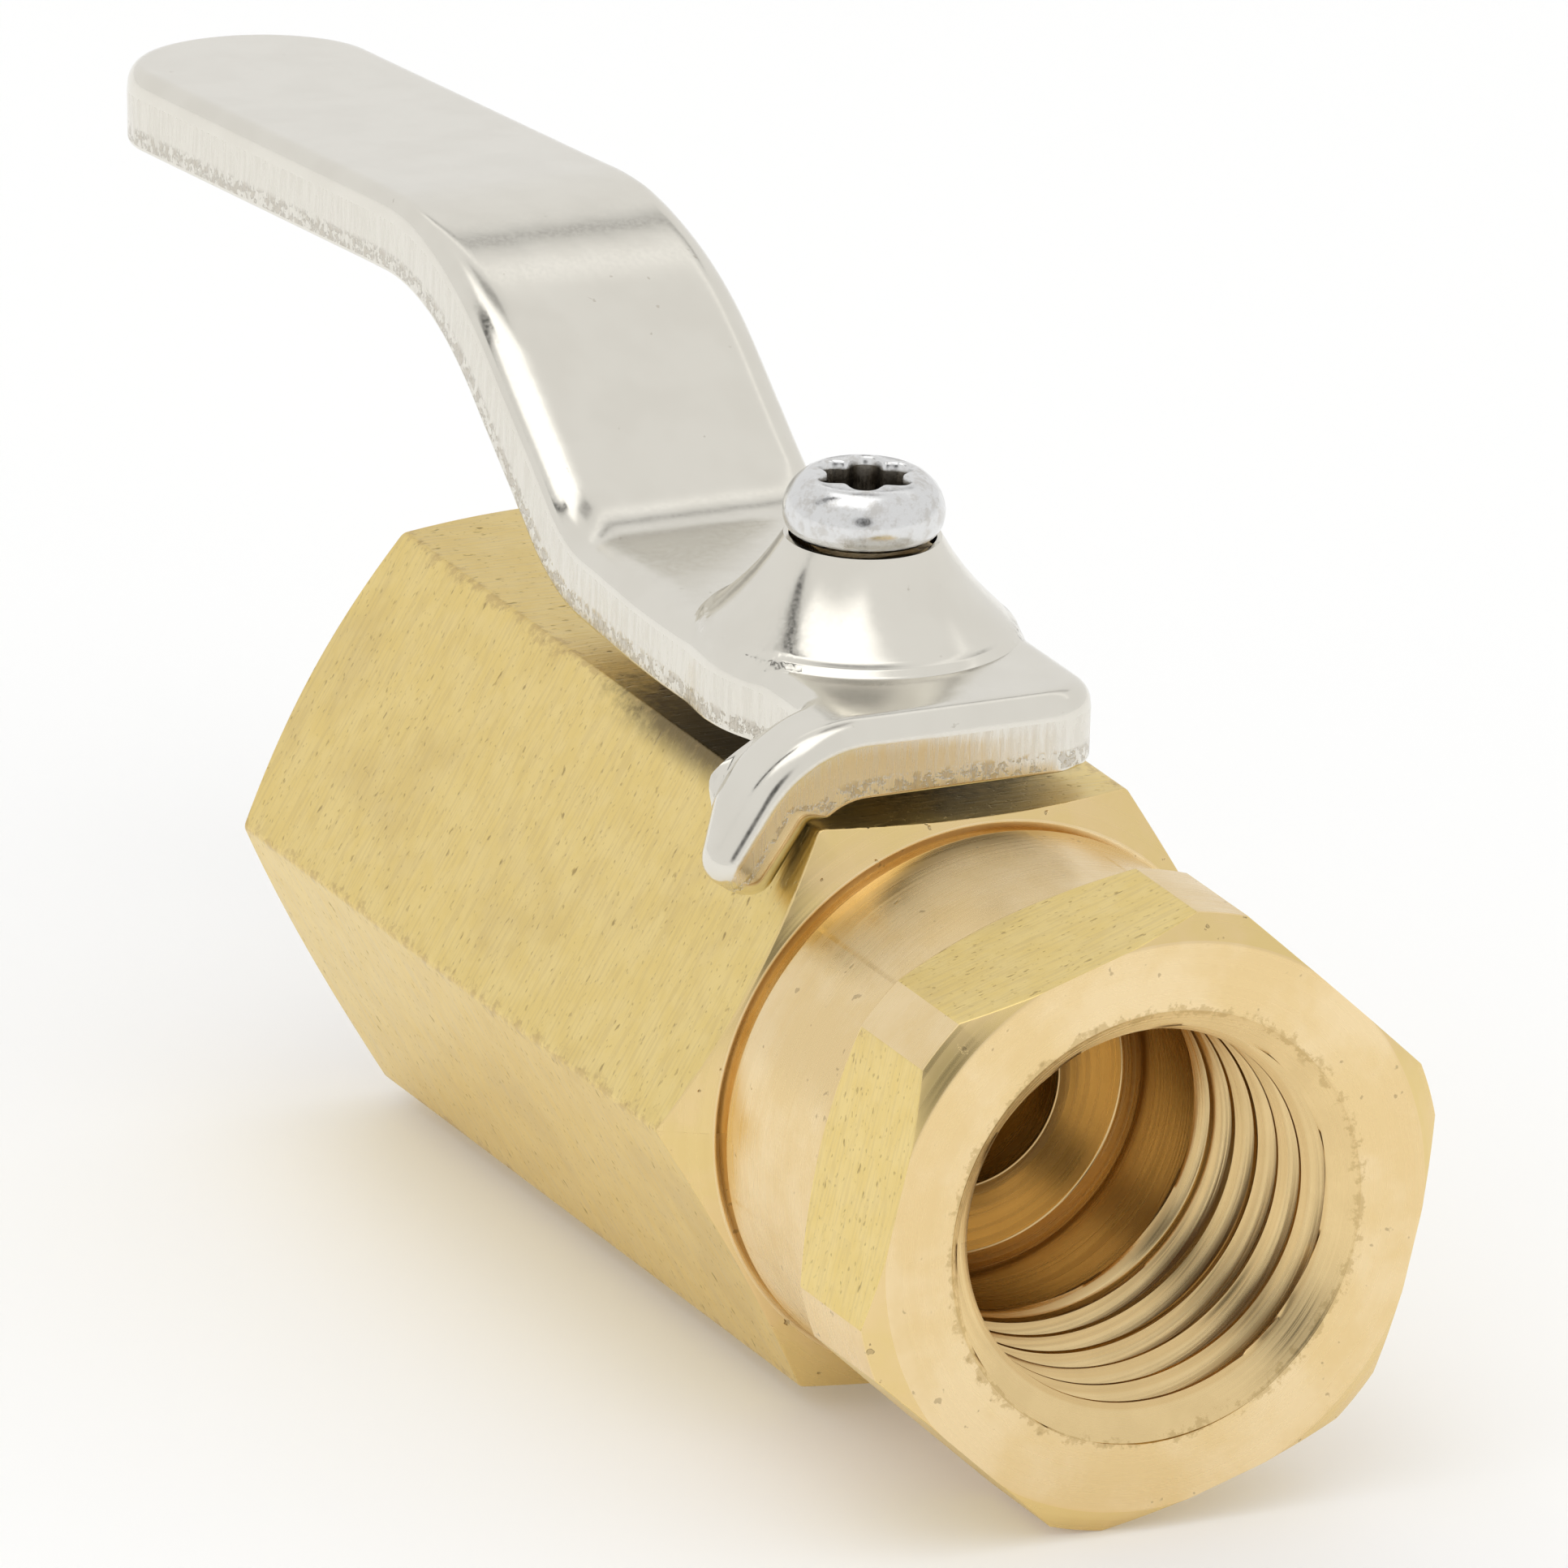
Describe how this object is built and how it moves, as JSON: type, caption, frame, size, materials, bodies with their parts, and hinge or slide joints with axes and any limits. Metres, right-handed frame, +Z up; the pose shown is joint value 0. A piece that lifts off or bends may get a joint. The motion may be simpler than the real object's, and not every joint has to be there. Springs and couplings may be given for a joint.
{
  "type": "ball valve",
  "caption": "Small quarter-turn ball valve with a hexagon brass body, female threaded ports and a bent lever with a stop tab.",
  "frame": {"origin": "centre of the rear port's end face", "axes": "+X along the bore towards the front port, +Z up the stem"},
  "size_m": [0.066, 0.02, 0.0276],
  "materials": {
    "brass_body": "drawn bar, satin, with turned ends",
    "brass_connector": "fine turned, satin",
    "brass_stem": "turned",
    "ball_plating": "polished",
    "nickel_lever": "satin nickel plate",
    "screw_steel": "bright zinc plate",
    "ptfe": "smooth",
    "seal_rubber": "smooth"
  },
  "bodies": {
    "housing": {"valve_body": "brass_body", "end_connector": "brass_connector", "body_seal": "ptfe", "seat_ring_rear": "ptfe", "seat_ring_front": "ptfe"},
    "handle": {"lever": "nickel_lever", "lever_screw": "screw_steel", "stem": "brass_stem", "thrust_washer": "ptfe", "stem_o_ring_lower": "seal_rubber", "stem_o_ring_upper": "seal_rubber"},
    "ball": {"ball": "ball_plating"}
  },
  "joints": [
    {"name": "lever_turn", "type": "hinge", "parent": "housing", "child": "handle", "pos_m": [0.0213, 0, 0.0087], "axis": [0, 0, 1], "range_deg": [-90, 0]},
    {"name": "ball_turn", "type": "hinge", "parent": "housing", "child": "ball", "pos_m": [0.0213, 0, 0], "axis": [0, 0, 1], "range_deg": [-90, 0]}
  ],
  "couplings": [
    {"joint": "ball_turn", "follows": "lever_turn", "ratio": 1}
  ]
}
